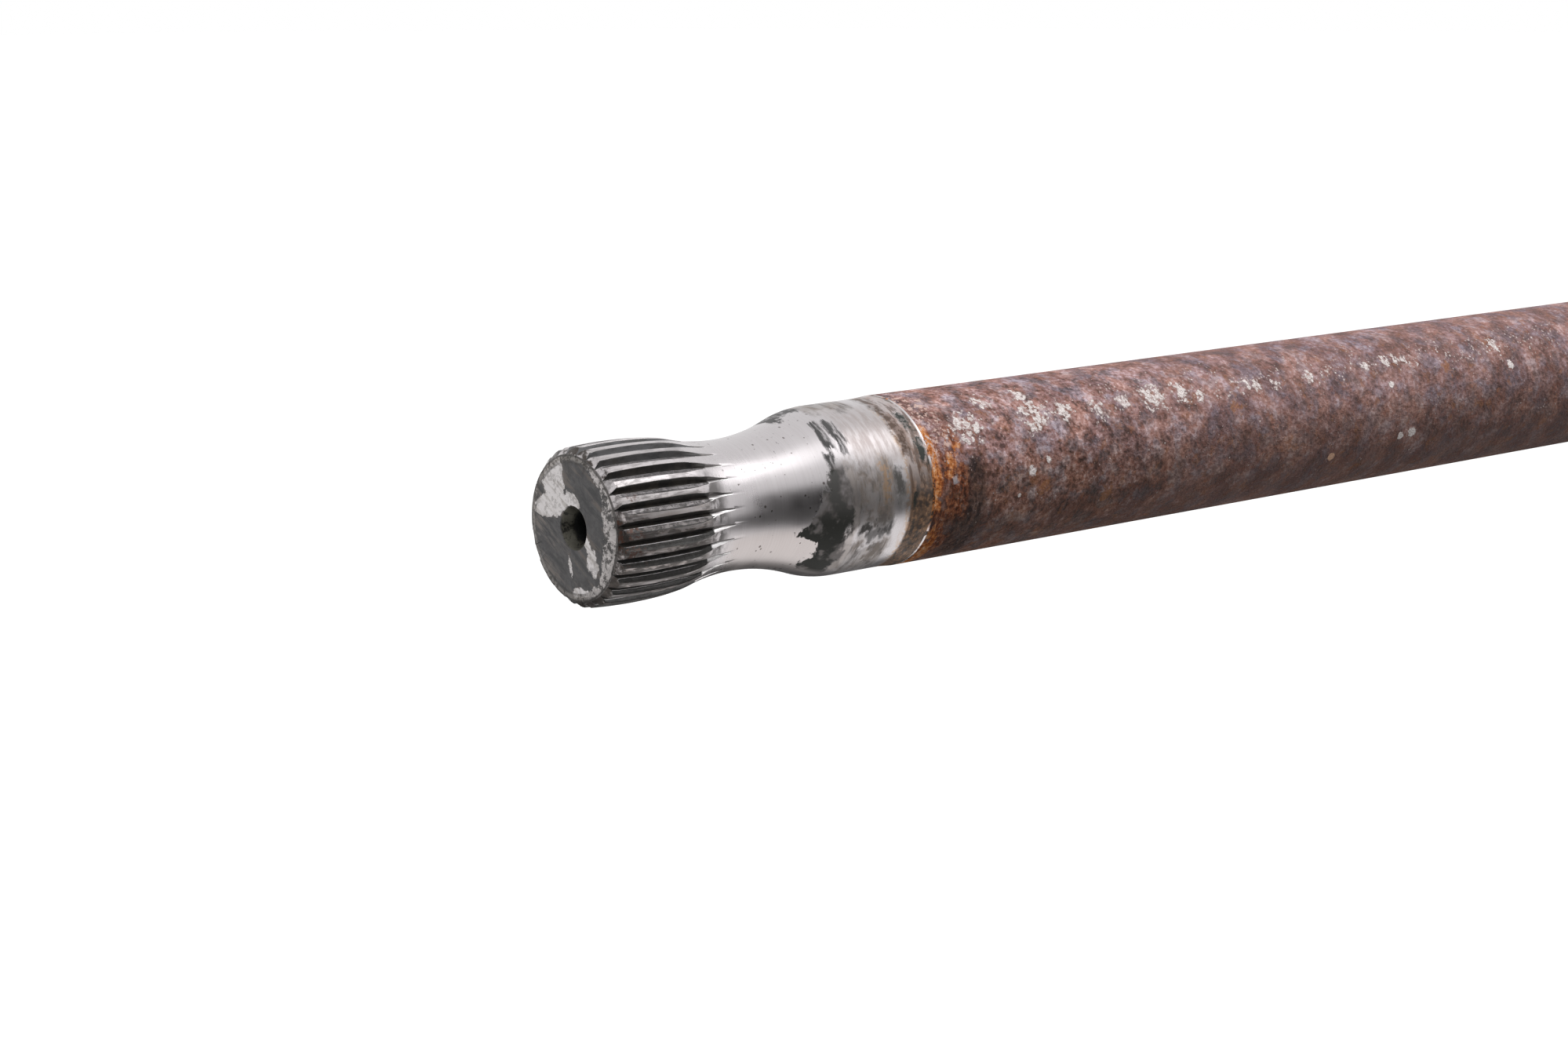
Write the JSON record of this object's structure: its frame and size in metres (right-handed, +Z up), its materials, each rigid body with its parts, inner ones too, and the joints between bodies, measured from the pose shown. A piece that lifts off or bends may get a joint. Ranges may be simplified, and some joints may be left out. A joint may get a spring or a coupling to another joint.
{
  "type": "impeller drive shaft",
  "caption": "Long round drive shaft with crowned splined ends, waisted necks and ground seal tracks, rusted along the bar.",
  "frame": {"origin": "on the shaft's axis, half way between the two end faces", "axes": "X along the shaft, with the end that the picture shows at -X; +Z up as the shaft lies in the picture; -Y towards the camera"},
  "size_m": [0.64, 0.0254, 0.0254],
  "materials": {
    "shaft_steel": "bare turned and ground steel at the ends, brown rust with pale salt specks along the bar"
  },
  "bodies": {
    "root": {"drive_shaft": "shaft_steel"}
  },
  "joints": []
}
